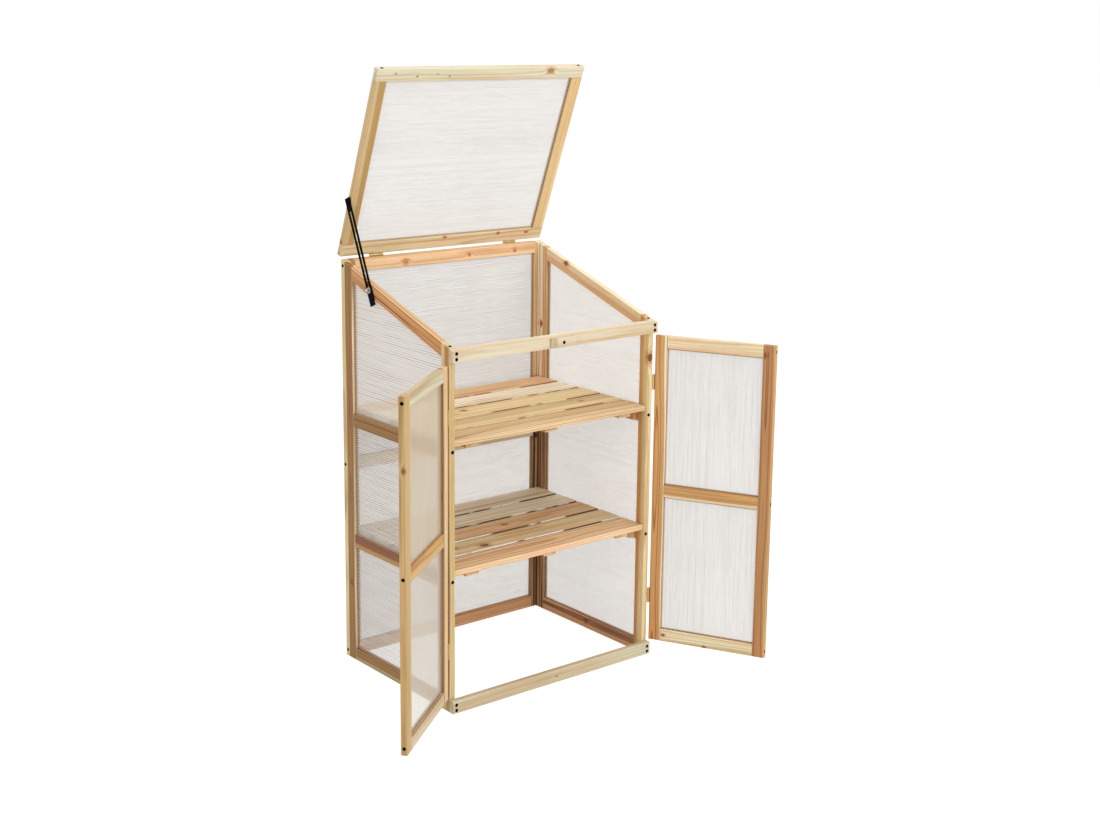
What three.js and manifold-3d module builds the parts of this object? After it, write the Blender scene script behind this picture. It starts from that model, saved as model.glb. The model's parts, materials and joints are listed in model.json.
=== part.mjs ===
// A tall wooden mini greenhouse: grooved softwood frames that hold milky twin-wall sheets, two doors,
// a lifting lid on a slotted stay, a turn-button and two slatted shelves.
// Millimetres, +Z up, the doors towards -Y. The origin is the middle of the underside of the front rail.
// Everything is built closed, then the doors, the lid and its stay are turned to their open pose.
import * as THREE from "three";
import { mergeVertices } from "three/addons/utils/BufferGeometryUtils.js";
import Module from "manifold-3d";

// The frame
const width = 600;
const depth = 450;
const backHeight = 984;
const frontHeight = 836;

// Stock, joints and sheets
const stockWide = 30;
const stockThick = 15;
const arris = 0.6;
const sheetThick = 4;
const grooveDeep = 8;
const tenonLong = 7;
const tenonWide = 12;

// Heights of the rails between the ends
const lowLedgeTop = 318;
const highLedgeTop = 618;
const backMiddle = 487;
const doorMiddle = 418;

// Ledges and shelves
const ledgeThick = 15;
const ledgeHigh = 26;
const ledgeSetback = 3;
const slatThick = 13.5;
const slatGap = 9;
const slatEndGap = 4.5;
const slatCount = 5;
const battenWide = 36;
const battenThick = 10;
const battenToLedge = 26;
const battenSetback = 10;

// Doors and lid
const doorGap = 3;
const doorTopGap = 8;
const meetingGap = 5;
const seamGap = 2.5;
const lidLong = 470;
const leftDoorOpen = THREE.MathUtils.degToRad(142);
const rightDoorOpen = THREE.MathUtils.degToRad(117);
const lidOpen = THREE.MathUtils.degToRad(87.2);

// Butt hinges
const hingeLong = 38;
const knuckleRadius = 2.8;
const pinRadius = 1.2;
const leafThick = 0.8;
const leafReach = 15;
const doorHingeInset = 115;
const lidHingeInset = 100;

// Turn-button
const buttonShortArm = 26;
const buttonLongArm = 40;
const buttonAside = 4;
const buttonHigh = 22;
const buttonThick = 15;
const buttonSlant = 7;
const washerRadius = 7;
const boltRadius = 2.5;

// Stay and its nut
const stayLong = 260;
const stayWide = 20;
const stayThick = 2;
const stayStandoff = 1.5;
const pivotReach = 140;
const pivotMargin = 12;
const pivotRadius = 5;
const pivotHead = 3;
const slotStart = 20;
const slotWide = 6.4;
const nutWide = 10;
const nutHigh = 5;

// One gap for everything that must stay free, and one overrun for joins and cuts
const clearance = 0.3;
const overrun = 2;

// Places that follow from the sizes above
const front = -stockThick / 2;
const back = front + depth;
const panelFront = front + stockThick;
const panelBack = back - stockThick;
const side = width / 2;
const slope = Math.atan2(backHeight - frontHeight, depth);
const hingeAxisX = side + knuckleRadius;
const hingeAxisY = panelFront - seamGap / 2;

const roofAt = (y) => frontHeight + (y - front) * Math.tan(slope);
const topRailFoot = roofAt(panelFront) - stockWide;

// Flat faces round a full turn of anything round
const facets = 20;

const finishes = {
  wood: new THREE.MeshStandardMaterial({ color: 0xe3c795, roughness: 0.62, metalness: 0 }),
  sheet: new THREE.MeshStandardMaterial({ color: 0xe3e1dd, roughness: 0.35, metalness: 0 }),
  brass: new THREE.MeshStandardMaterial({ color: 0xc9a55a, roughness: 0.4, metalness: 1 }),
  black: new THREE.MeshStandardMaterial({ color: 0x101010, roughness: 0.45, metalness: 0.2 }),
  zinc: new THREE.MeshStandardMaterial({ color: 0xc9ccd0, roughness: 0.3, metalness: 1 }),
};

const wasm = await Module();
wasm.setup();

// A three.js geometry as a manifold-3d solid
function solidOf(geometry) {
  const bare = new THREE.BufferGeometry();
  bare.setAttribute("position", geometry.getAttribute("position"));
  bare.setIndex(geometry.index);
  const merged = mergeVertices(bare);
  const mesh = { numProp: 3, vertProperties: merged.attributes.position.array };
  mesh.triVerts = new Uint32Array(merged.index.array);
  return new wasm.Manifold(new wasm.Mesh(mesh));
}

// A manifold-3d solid as a three.js geometry with flat faces
function geometryOf(solid) {
  const { numProp, numVert, vertProperties, triVerts } = solid.getMesh();
  const points = new Float32Array(numVert * 3);
  for (let i = 0; i < numVert; i++) {
    points.set(vertProperties.subarray(i * numProp, i * numProp + 3), i * 3);
  }
  const shared = new THREE.BufferGeometry();
  shared.setAttribute("position", new THREE.BufferAttribute(points, 3));
  shared.setIndex(new THREE.BufferAttribute(triVerts, 1));
  const flat = shared.toNonIndexed();
  flat.computeVertexNormals();
  return flat;
}

// The planes that outlines are drawn in: each turns a shape's x, y and extrusion into the part's axes
const views = {
  plan: new THREE.Matrix4(),
  front: new THREE.Matrix4().set(1, 0, 0, 0, 0, 0, -1, 0, 0, 1, 0, 0, 0, 0, 0, 1),
  side: new THREE.Matrix4().set(0, 0, 1, 0, 1, 0, 0, 0, 0, 1, 0, 0, 0, 0, 0, 1),
  lid: new THREE.Matrix4().set(0, 1, 0, 0, -1, 0, 0, 0, 0, 0, 1, 0, 0, 0, 0, 1),
};
const backwards = { plan: false, front: true, side: false, lid: false };

// A board: an outline of [along, up] points given thickness from low to high, its edges eased
function board(points, view, low, high, ease = 0) {
  const shape = points instanceof THREE.Shape
    ? points
    : new THREE.Shape(points.map(([along, up]) => new THREE.Vector2(along, up)));
  const geometry = new THREE.ExtrudeGeometry(shape, {
    depth: high - low - 2 * ease,
    bevelEnabled: ease > 0,
    bevelThickness: ease,
    bevelSize: ease,
    bevelOffset: -ease,
    bevelSegments: 1,
    curveSegments: facets,
  });
  geometry.translate(0, 0, (backwards[view] ? -high : low) + ease);
  return solidOf(geometry.applyMatrix4(views[view]));
}

// A rectangle from one corner to the opposite one
const rectangle = (a0, b0, a1, b1) => [[a0, b0], [a1, b0], [a1, b1], [a0, b1]];

// An outline, anticlockwise, with every edge moved outwards by a distance
function grown(points, distance) {
  const edges = points.map((point, i) => {
    const next = points[(i + 1) % points.length];
    const along = new THREE.Vector2(next[0] - point[0], next[1] - point[1]).normalize();
    const start = new THREE.Vector2(point[0] + along.y * distance, point[1] - along.x * distance);
    return { start, along };
  });
  return edges.map((edge, i) => {
    const before = edges[(i + edges.length - 1) % edges.length];
    const apart = edge.start.clone().sub(before.start);
    const reach = apart.cross(edge.along) / before.along.cross(edge.along);
    const corner = before.start.clone().addScaledVector(before.along, reach);
    return [corner.x, corner.y];
  });
}

// Everything above the roof line, for trimming what meets the slope
const roofWaste = board(
  [
    [front - depth, roofAt(front - depth)],
    [back + depth, roofAt(back + depth)],
    [back + depth, backHeight + depth],
    [front - depth, backHeight + depth],
  ],
  "side",
  -width,
  width,
);

function place(group, name, solid, finish) {
  const mesh = new THREE.Mesh(geometryOf(solid), finishes[finish]);
  mesh.name = name;
  group.add(mesh);
}

// A frame of two long members and the rails between them, each jointed by a stub tenon into the groove
// that also holds the sheets. Rails run from low edge to high edge; bays between them take the sheets.
function framedPanel({ view, low, ends, foot, topAt, rails, names, seam = 0, trimmed = false }) {
  const high = low + stockThick;
  const middle = (low + high) / 2;
  const [near, far] = [ends[0] + stockWide, ends[1] - stockWide];
  const thin = (points, thick) => board(points, view, middle - thick / 2, middle + thick / 2);
  const trim = (solid) => (trimmed ? solid.subtract(roofWaste) : solid);

  // A tenon keeps to the web that the grooves on the rail's bay edges leave
  const tenonAt = (rail, along) => {
    const [under, over] = [rail.under(along), rail.over(along)];
    const webLow = under + (rail.grooveUnder ? grooveDeep : 0);
    const webHigh = over - (rail.grooveOver ? grooveDeep : 0);
    return (webLow + webHigh - tenonWide) / 2;
  };
  const tenons = rails.flatMap((rail) => [
    rectangle(near - tenonLong, tenonAt(rail, near), near + overrun, tenonAt(rail, near) + tenonWide),
    rectangle(far - overrun, tenonAt(rail, far), far + tenonLong, tenonAt(rail, far) + tenonWide),
  ]);
  const bays = rails.slice(1).map((rail, i) => [
    [near, rails[i].over(near)],
    [far, rails[i].over(far)],
    [far, rail.under(far)],
    [near, rail.under(near)],
  ]);
  const cuts = [
    ...bays.map((bay) => thin(grown(bay, grooveDeep + clearance), sheetThick + 2 * clearance)),
    ...tenons.map((tenon) => thin(grown(tenon, clearance), sheetThick + 2 * clearance)),
  ];
  const grooved = (solid, list) => list.reduce((left, cut) => left.subtract(cut), solid);

  const members = ends.map((end, i) => {
    const inner = i === 0 ? near - seam : far + seam;
    const [from, to] = [Math.min(end, inner), Math.max(end, inner)];
    const outline = [[from, foot], [to, foot], [to, topAt(to)], [from, topAt(from)]];
    return [names.members[i], grooved(trim(board(outline, view, low, high, arris)), cuts)];
  });
  rails.forEach((rail, i) => {
    const outline = [
      [near, rail.under(near)],
      [far, rail.under(far)],
      [far, rail.over(far)],
      [near, rail.over(near)],
    ];
    const body = grooved(trim(board(outline, view, low, high, arris)), cuts.slice(0, bays.length));
    const pair = tenons.slice(2 * i, 2 * i + 2).map((tenon) => thin(tenon, sheetThick));
    members.push([names.rails[i], pair.reduce((all, tenon) => all.add(tenon), body)]);
  });
  const sheets = bays.map((bay, i) => [names.sheets[i], thin(grown(bay, grooveDeep), sheetThick)]);
  return { members: new Map(members), sheets: new Map(sheets) };
}

// A level rail between two heights
const levelRail = (under, over, grooveUnder, grooveOver) => ({
  under: () => under,
  over: () => over,
  grooveUnder,
  grooveOver,
});

// The rails of a panel from its foot to its level top, with middle ones given by their centre heights
function levelRails(foot, top, centres) {
  return [
    levelRail(foot, foot + stockWide, false, true),
    ...centres.map((centre) => levelRail(centre - stockWide / 2, centre + stockWide / 2, true, true)),
    levelRail(top - stockWide, top, true, false),
  ];
}

function addPanel(group, panel) {
  panel.members.forEach((solid, name) => place(group, name, solid, "wood"));
  panel.sheets.forEach((solid, name) => place(group, name, solid, "sheet"));
}

// Hinge parts lie along Z, screwed to faces on the -X side: the fixed leaf towards +Y, the moving one to -Y
const third = hingeLong / 3;
const knuckleClear = knuckleRadius + clearance;

function cylinder(radius, low, high) {
  const geometry = new THREE.CylinderGeometry(radius, radius, high - low, facets);
  return solidOf(geometry.rotateX(Math.PI / 2).translate(0, 0, (low + high) / 2));
}

// The fixed leaf lies from a seat depth below the axis out to its own thickness, and holds the middle knuckle
function fixedLeaf(seat, thick) {
  const tab = (third - clearance) / 2;
  const outline = [
    [knuckleClear, -hingeLong / 2],
    [leafReach, -hingeLong / 2],
    [leafReach, hingeLong / 2],
    [knuckleClear, hingeLong / 2],
    [knuckleClear, tab],
    [0, tab],
    [0, -tab],
    [knuckleClear, -tab],
  ];
  const plate = board(outline, "side", -seat, -seat + thick);
  const bore = cylinder(pinRadius + clearance, -hingeLong, hingeLong);
  return plate.add(cylinder(knuckleRadius, -tab, tab)).subtract(bore);
}

// The moving leaf holds the outer knuckles and the pin that runs through all three
function movingLeaf() {
  const tab = (third + clearance) / 2;
  const outline = [
    [-leafReach, -hingeLong / 2],
    [0, -hingeLong / 2],
    [0, -tab],
    [-knuckleClear, -tab],
    [-knuckleClear, tab],
    [0, tab],
    [0, hingeLong / 2],
    [-leafReach, hingeLong / 2],
  ];
  const seat = knuckleRadius - clearance;
  const plate = board(outline, "side", -seat, -seat + leafThick);
  const pin = cylinder(pinRadius, -hingeLong / 2, hingeLong / 2);
  const knuckles = [[-hingeLong / 2, -tab], [tab, hingeLong / 2]];
  return knuckles.reduce((all, [low, high]) => all.add(cylinder(knuckleRadius, low, high)), plate.add(pin));
}

const unturned = new THREE.Matrix4();
const mirrored = new THREE.Matrix4().makeRotationY(Math.PI);
const acrossBack = new THREE.Matrix4().makeBasis(
  new THREE.Vector3(0, 1, 0),
  new THREE.Vector3(0, 0, -1),
  new THREE.Vector3(-1, 0, 0),
);
const moved = (solid, turn, x, y, z) => {
  const matrix = new THREE.Matrix4().makeTranslation(x, y, z).multiply(turn);
  return solidOf(geometryOf(solid).applyMatrix4(matrix));
};

// Side panels, their ledges and the fixed leaves of the door hinges on their front stiles
const doorLow = stockWide + doorGap;
const doorHigh = topRailFoot - doorTopGap;
const hingeHeights = [doorLow + doorHingeInset, doorHigh - doorHingeInset];

function sidePanel(group, hand) {
  const isLeft = hand === "left";
  const low = isLeft ? -side : side - stockThick;
  const drop = stockWide / Math.cos(slope);
  const ledgeTops = [lowLedgeTop, highLedgeTop];
  const [foot, ...middles] = levelRails(0, frontHeight, ledgeTops.map((top) => top - stockWide / 2));
  middles[middles.length - 1] = {
    under: (y) => roofAt(y) - drop,
    over: roofAt,
    grooveUnder: true,
    grooveOver: false,
  };
  const panel = framedPanel({
    view: "side",
    low,
    ends: [panelFront, panelBack],
    foot: 0,
    topAt: roofAt,
    rails: [foot, ...middles],
    names: {
      members: [`${hand}_front_stile`, `${hand}_back_stile`],
      rails: ["bottom_rail", "lower_mid_rail", "upper_mid_rail", "sloped_top_rail"].map(
        (name) => `${hand}_${name}`,
      ),
      sheets: ["lower", "middle", "upper"].map((name) => `${hand}_${name}_sheet`),
    },
  });

  // A ledge on the inner face of each mid rail, flush with its top
  const inner = isLeft ? low + stockThick : low - ledgeThick;
  const from = isLeft ? inner - arris : inner;
  const to = isLeft ? inner + ledgeThick : inner + ledgeThick + arris;
  const setback = stockWide + ledgeSetback;
  ledgeTops.forEach((top, i) => {
    const outline = rectangle(panelFront + setback, top - ledgeHigh, panelBack - setback, top);
    const name = `${hand}_${["lower", "upper"][i]}_mid_rail`;
    panel.members.set(name, panel.members.get(name).add(board(outline, "side", from, to)));
  });

  // The fixed hinge leaves sit on the stile's outer side face
  const stile = `${hand}_front_stile`;
  const leaf = fixedLeaf(knuckleRadius + arris, leafThick + arris);
  hingeHeights.forEach((height) => {
    const axisX = isLeft ? -hingeAxisX : hingeAxisX;
    const seated = moved(leaf, isLeft ? mirrored : unturned, axisX, hingeAxisY, height);
    panel.members.set(stile, panel.members.get(stile).add(seated));
  });
  addPanel(group, panel);
}

function backPanel(group) {
  const panel = framedPanel({
    view: "front",
    low: panelBack,
    ends: [-side, side],
    foot: 0,
    topAt: () => backHeight,
    rails: levelRails(0, backHeight, [backMiddle]),
    names: {
      members: ["back_left_stile", "back_right_stile"],
      rails: ["back_bottom_rail", "back_middle_rail", "back_top_rail"],
      sheets: ["back_lower_sheet", "back_upper_sheet"],
    },
    trimmed: true,
  });
  addPanel(group, panel);
}

// The front rails run the full width; the top one is planed to the roof slope
function frontRails(group) {
  const bottom = board(rectangle(-side, 0, side, stockWide), "front", front, panelFront, arris);
  place(group, "front_bottom_rail", bottom, "wood");
  const topEdge = roofAt(panelFront) + overrun;
  const outline = rectangle(-side, topRailFoot, side, topEdge);
  const top = board(outline, "front", front, panelFront, arris).subtract(roofWaste);
  place(group, "front_top_rail", top, "wood");
}

// Slats across battens, each shelf one screwed-up piece that rests on the ledges
function shelf(group, name, ledgeTop) {
  const reach = side - stockThick - clearance;
  const start = panelFront + slatEndGap;
  const end = panelBack - slatEndGap;
  const slatWide = (end - start - (slatCount - 1) * slatGap) / slatCount;
  const levels = [ledgeTop, ledgeTop + slatThick];
  const slats = Array.from({ length: slatCount }, (_, i) => {
    const edge = start + i * (slatWide + slatGap);
    return board(rectangle(-reach, edge, reach, edge + slatWide), "plan", ...levels, arris);
  });
  const spread = side - stockThick - ledgeThick - battenToLedge - battenWide / 2;
  const battens = [-spread, 0, spread].map((centre) => {
    const ends = [start + battenSetback, end - battenSetback];
    const outline = rectangle(centre - battenWide / 2, ends[0], centre + battenWide / 2, ends[1]);
    return board(outline, "plan", ledgeTop - battenThick, ledgeTop + arris);
  });
  place(group, name, [...slats, ...battens].reduce((all, piece) => all.add(piece)), "wood");
}

// A group that turns about a pivot, holding pieces drawn in the closed pose
function pivoted(parent, pivot, turn) {
  const turning = new THREE.Group();
  turning.position.copy(pivot);
  turning.rotation.copy(turn);
  const closed = new THREE.Group();
  closed.position.copy(pivot).negate();
  turning.add(closed);
  parent.add(turning);
  return closed;
}

function door(parent, hand) {
  const isLeft = hand === "left";
  const sign = isLeft ? -1 : 1;
  const pivot = new THREE.Vector3(sign * hingeAxisX, hingeAxisY, 0);
  const turn = new THREE.Euler(0, 0, isLeft ? -leftDoorOpen : rightDoorOpen);
  const group = pivoted(parent, pivot, turn);
  const inner = panelFront - seamGap;
  const stiles = isLeft ? ["hinge_stile", "free_stile"] : ["free_stile", "hinge_stile"];
  const panel = framedPanel({
    view: "front",
    low: inner - stockThick,
    ends: isLeft ? [-side, -meetingGap / 2] : [meetingGap / 2, side],
    foot: doorLow,
    topAt: () => doorHigh,
    rails: levelRails(doorLow, doorHigh, [doorMiddle]),
    names: {
      members: stiles.map((name) => `${hand}_door_${name}`),
      rails: ["bottom_rail", "middle_rail", "top_rail"].map((name) => `${hand}_door_${name}`),
      sheets: ["lower_sheet", "upper_sheet"].map((name) => `${hand}_door_${name}`),
    },
    seam: clearance,
  });
  addPanel(group, panel);
  hingeHeights.forEach((height, i) => {
    const seated = moved(movingLeaf(), isLeft ? mirrored : unturned, pivot.x, pivot.y, height);
    place(group, `${hand}_door_${["lower", "upper"][i]}_hinge_leaf`, seated, "brass");
  });
}

// The lid lies on the roof slope when closed: its own frame has the hinge axis along X, the lid towards -Y
const lidAxis = new THREE.Vector3(
  0,
  back + knuckleRadius * Math.cos(slope) - (seamGap / 2) * Math.sin(slope),
  backHeight + knuckleRadius * Math.sin(slope) + (seamGap / 2) * Math.cos(slope),
);
const lidHinges = [lidHingeInset - side, side - lidHingeInset];

function roofGroup(parent, opening) {
  const group = new THREE.Group();
  group.position.copy(lidAxis);
  group.rotation.x = slope - opening;
  parent.add(group);
  return group;
}

function lid(parent) {
  const fixed = roofGroup(parent, slope);
  const open = roofGroup(parent, lidOpen);
  const panel = framedPanel({
    view: "lid",
    low: seamGap / 2,
    ends: [knuckleRadius, knuckleRadius + lidLong],
    foot: -side,
    topAt: () => side,
    rails: levelRails(-side, side, []),
    names: {
      members: ["lid_back_rail", "lid_front_rail"],
      rails: ["lid_left_stile", "lid_right_stile"],
      sheets: ["lid_sheet"],
    },
    seam: clearance,
  });
  addPanel(open, panel);

  // The lid's hinges are screwed to the upright back face and to the lid's back edge
  const seat = lidAxis.y - back - clearance;
  ["left", "right"].forEach((hand, i) => {
    const below = moved(fixedLeaf(seat, leafThick), acrossBack, lidHinges[i], 0, 0);
    place(fixed, `lid_${hand}_hinge_fixed_leaf`, below, "brass");
    const above = moved(movingLeaf(), acrossBack, lidHinges[i], 0, 0);
    place(open, `lid_${hand}_hinge_moving_leaf`, above, "brass");
  });
}

// A block with slanted ends, on a washer that holds it clear of the doors. Its screw stands a little left of
// the doors' meeting line, so that the long arm hangs over both doors when it is turned down.
function turnButton(group) {
  const doorFace = panelFront - seamGap - stockThick;
  const low = doorFace - clearance - buttonThick;
  const high = doorFace - clearance;
  const centre = topRailFoot + stockWide / 2;
  const [left, right] = [-buttonAside - buttonShortArm, buttonLongArm - buttonAside];
  const outline = [
    [left, high],
    [left + buttonSlant, low],
    [right - buttonSlant, low],
    [right, high],
  ];
  const block = board(outline, "plan", centre - buttonHigh / 2, centre + buttonHigh / 2, arris);
  const washer = cylinder(washerRadius, -front, -high + arris);
  const upright = new THREE.Matrix4().makeRotationX(Math.PI / 2);
  place(group, "turn_button", block.add(moved(washer, upright, -buttonAside, 0, centre)), "wood");
}

// The stud stands on the centre line of the sloped rail, as far from the lid's axis as the stay's pivot is.
// So the stay turns by half the lid's angle while its pivot goes round.
const pivotRise = (seamGap + stockThick) / 2;
const studDrop = (seamGap + stockWide) / 2;
const studReach = Math.sqrt(pivotReach ** 2 + pivotRise ** 2 - studDrop ** 2);

const onRoof = (reach, rise, opening) => {
  const point = new THREE.Vector3(0, -reach, rise);
  point.applyAxisAngle(new THREE.Vector3(1, 0, 0), slope - opening);
  return point.add(lidAxis);
};

function stay(parent) {
  const pivot = onRoof(pivotReach, pivotRise, lidOpen);
  const stud = onRoof(studReach, -studDrop, 0);
  const reach = pivot.distanceTo(stud);
  const lean = Math.atan2(pivot.y - stud.y, pivot.z - stud.z);
  const sideFace = -side;

  // The bar hangs from its pivot along -Z, then leans; the slot ends where the stud rests with the lid up
  const bar = new THREE.Group();
  bar.position.set(sideFace - stayStandoff, pivot.y, pivot.z);
  bar.rotation.x = -lean;
  parent.add(bar);
  const shape = new THREE.Shape();
  shape.moveTo(-stayWide / 2, pivotMargin);
  shape.lineTo(-stayWide / 2, pivotMargin - stayLong);
  shape.lineTo(stayWide / 2, pivotMargin - stayLong);
  shape.lineTo(stayWide / 2, pivotMargin);
  shape.closePath();
  const slot = new THREE.Path();
  const slotEnds = [-slotStart - slotWide / 2, -reach - boltRadius - clearance + slotWide / 2];
  slot.moveTo(-slotWide / 2, slotEnds[0]);
  slot.absarc(0, slotEnds[0], slotWide / 2, Math.PI, 0, true);
  slot.absarc(0, slotEnds[1], slotWide / 2, 0, -Math.PI, true);
  slot.closePath();
  shape.holes.push(slot);
  const strip = board(shape, "side", -stayThick, 0);
  const acrossX = new THREE.Matrix4().makeRotationY(Math.PI / 2);
  const shank = cylinder(pivotRadius, -stayThick / 2, stayStandoff - clearance);
  const head = cylinder(pivotRadius + clearance, -stayThick - pivotHead, -stayThick / 2);
  const screw = moved(shank.add(head), acrossX, 0, 0, 0);
  place(bar, "stay_bar", strip.add(screw), "black");

  // The stud with its washer and hexagon nut outside the bar
  const holder = new THREE.Group();
  holder.position.set(sideFace, stud.y, stud.z);
  holder.rotation.x = -lean;
  parent.add(holder);
  const barOutside = stayStandoff + stayThick + clearance;
  const seat = cylinder(washerRadius, 0, stayStandoff - clearance);
  const bolt = cylinder(boltRadius, 0, barOutside + leafThick + nutHigh + boltRadius);
  const washer = cylinder(washerRadius, barOutside, barOutside + leafThick);
  const hexagon = new THREE.CylinderGeometry(nutWide / 2, nutWide / 2, nutHigh, 6);
  hexagon.rotateX(Math.PI / 2).translate(0, 0, barOutside + leafThick + nutHigh / 2 - arris / 2);
  const stack = [bolt, washer, solidOf(hexagon)].reduce((all, piece) => all.add(piece), seat);
  const outwards = new THREE.Matrix4().makeRotationY(-Math.PI / 2);
  place(holder, "stay_stud", moved(stack, outwards, 0, 0, 0), "zinc");
}

const greenhouse = new THREE.Group();
sidePanel(greenhouse, "left");
sidePanel(greenhouse, "right");
backPanel(greenhouse);
frontRails(greenhouse);
shelf(greenhouse, "lower_shelf", lowLedgeTop);
shelf(greenhouse, "upper_shelf", highLedgeTop);
door(greenhouse, "left");
door(greenhouse, "right");
lid(greenhouse);
turnButton(greenhouse);
stay(greenhouse);

export default greenhouse;
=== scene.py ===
# %% [markdown]
# # A wooden mini greenhouse
# The greenhouse is a tall cold frame of planed softwood battens. Grooves in the battens hold milky
# twin-wall sheets, two doors swing open on brassed hinges, and the lid stands up on a slotted black stay.
# The working model arrives as a fixed frame of named solids. This lesson gives each one its finish and adds
# the small fittings that the solids leave out. All lengths are in metres, in the frame's own axes: X runs
# along the front, Y towards the back, Z upwards, and the origin is the middle of the front bottom rail's
# underside, on the ground.

# %% Load the fixed frame
import json
import math

import bpy
import numpy as np
from mathutils import Matrix, Vector


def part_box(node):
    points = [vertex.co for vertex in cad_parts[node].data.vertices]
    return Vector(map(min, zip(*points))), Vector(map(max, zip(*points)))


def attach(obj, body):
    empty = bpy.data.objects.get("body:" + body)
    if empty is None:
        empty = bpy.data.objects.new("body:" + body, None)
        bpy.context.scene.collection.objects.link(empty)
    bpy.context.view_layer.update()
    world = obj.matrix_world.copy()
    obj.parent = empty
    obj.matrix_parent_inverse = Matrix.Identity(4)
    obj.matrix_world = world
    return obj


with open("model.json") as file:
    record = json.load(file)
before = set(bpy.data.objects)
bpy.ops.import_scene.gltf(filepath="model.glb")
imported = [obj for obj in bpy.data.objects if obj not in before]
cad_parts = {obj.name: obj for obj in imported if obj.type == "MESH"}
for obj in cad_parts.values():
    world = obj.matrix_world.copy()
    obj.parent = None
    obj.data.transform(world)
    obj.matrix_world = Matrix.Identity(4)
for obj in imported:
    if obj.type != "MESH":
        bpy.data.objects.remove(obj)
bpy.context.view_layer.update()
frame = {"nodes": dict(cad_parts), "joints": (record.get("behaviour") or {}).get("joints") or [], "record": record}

nodes = frame["nodes"]
joints = {joint["name"]: joint for joint in frame["joints"]}
body_of = {node: body for body, held in frame["record"]["behaviour"]["bodies"].items() for node in held}
print("solids:", len(nodes), "joints:", len(joints))

# %% [markdown]
# ## The camera
# The picture was taken from the front left, a little above the open lid, with a long lens. Turning a yaw, a
# pitch and a small roll into three axes is easier to read than aiming an object with a constraint, and it
# leaves nothing live in the scene. A small lens shift moves the view within the picture without a tilt.

# %% Set the camera
IMAGE_WIDE = 1100
SENSOR_WIDE = 36.0
FOCAL_PIXELS = 1638.558
SHIFT_PIXELS = -57.028
CAMERA_YAW = math.radians(-39.221)
CAMERA_PITCH = math.radians(11.715)
CAMERA_ROLL = math.radians(0.674)
CAMERA_AWAY = 4.058764
AIM = Vector((0.127192, 0.2175, 0.739733))
FAR_CLIP = 100.0


def show(thing):
    """Puts an object into the scene."""
    bpy.context.scene.collection.objects.link(thing)
    return thing


def camera_axes(yaw, pitch, roll):
    """Right, up and back: back points at the viewer, and roll turns right and up about it."""
    back = Vector((math.sin(yaw), -math.cos(yaw), 0)) * math.cos(pitch) + Vector((0, 0, math.sin(pitch)))
    level = Vector((math.cos(yaw), math.sin(yaw), 0))
    upright = back.cross(level)
    right = level * math.cos(roll) + upright * math.sin(roll)
    return right, back.cross(right), back


def place_camera():
    """Back by the distance, right and up by the aim's X and Z, and along the frame's Y by its Y."""
    right, up, back = camera_axes(CAMERA_YAW, CAMERA_PITCH, CAMERA_ROLL)
    spot = back * CAMERA_AWAY + right * AIM.x + up * AIM.z
    spot.y += AIM.y
    data = bpy.data.cameras.new("viewpoint")
    data.sensor_width = SENSOR_WIDE
    data.sensor_fit = "HORIZONTAL"
    data.lens = FOCAL_PIXELS / IMAGE_WIDE * SENSOR_WIDE
    data.shift_y = SHIFT_PIXELS / IMAGE_WIDE
    data.clip_end = FAR_CLIP
    camera = show(bpy.data.objects.new("viewpoint", data))
    turn = Matrix((right, up, back)).transposed().to_4x4()
    camera.matrix_world = Matrix.Translation(spot) @ turn
    bpy.context.scene.camera = camera
    return camera


viewpoint = place_camera()
print("camera at", [round(value, 3) for value in viewpoint.matrix_world.translation])

# %% [markdown]
# ## Writing materials as short sentences
# A material is a graph of small nodes. Linking them by hand takes many lines that say little, so a few
# helpers add a node, fill its inputs with numbers or with other nodes' outputs, and hand back its output.
# A socket knows which tree it is in, so most helpers need only the sockets. After this the finishes below
# read almost like formulas.

# %% Helpers that add shader nodes


def fill(node, inputs):
    """Sets a node's inputs: each value is a number, a tuple, a web colour, or the socket that feeds it."""
    for key, value in inputs.items():
        if isinstance(value, bpy.types.NodeSocket):
            node.id_data.links.new(value, node.inputs[key])
        else:
            node.inputs[key].default_value = colour(value) if isinstance(value, str) else value
    return node


def add_node(tree, kind, inputs=(), **settings):
    """Adds one node with its settings and its inputs."""
    node = tree.nodes.new("ShaderNode" + kind)
    for name, value in settings.items():
        setattr(node, name, value)
    return fill(node, dict(inputs))


def feed(kind, inputs, **settings):
    """Adds a node to the tree that its inputs come from, which every socket knows."""
    tree = next(value.id_data for value in inputs.values() if isinstance(value, bpy.types.NodeSocket))
    return add_node(tree, kind, inputs, **settings)


def number(operation, *values, clamp=False):
    """One step of arithmetic on single numbers."""
    return feed("Math", dict(enumerate(values)), operation=operation, use_clamp=clamp).outputs[0]


def times(first, second):
    """Two numbers multiplied."""
    return number("MULTIPLY", first, second)


def vector(operation, *values):
    """One step of arithmetic on vectors; a length or a dot product comes out as one number."""
    node = feed("VectorMath", dict(enumerate(values)), operation=operation)
    return node.outputs["Value" if operation in ("LENGTH", "DOT_PRODUCT") else "Vector"]


def ramp(value, low, high, start=0.0, end=1.0):
    """A smooth step: start below low, end above high."""
    inputs = {"Value": value, "From Min": low, "From Max": high, "To Min": start, "To Max": end}
    return feed("MapRange", inputs, interpolation_type="SMOOTHSTEP").outputs["Result"]


def fall(value, low, high):
    """A smooth step down: one below low, zero above high."""
    return ramp(value, low, high, start=1.0, end=0.0)


def mix(amount, first, second, mode="MIX"):
    """A colour between two colours, or one laid over the other by a blend mode."""
    inputs = {0: amount, 6: first, 7: second}
    return feed("Mix", inputs, data_type="RGBA", blend_type=mode).outputs[2]


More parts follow.
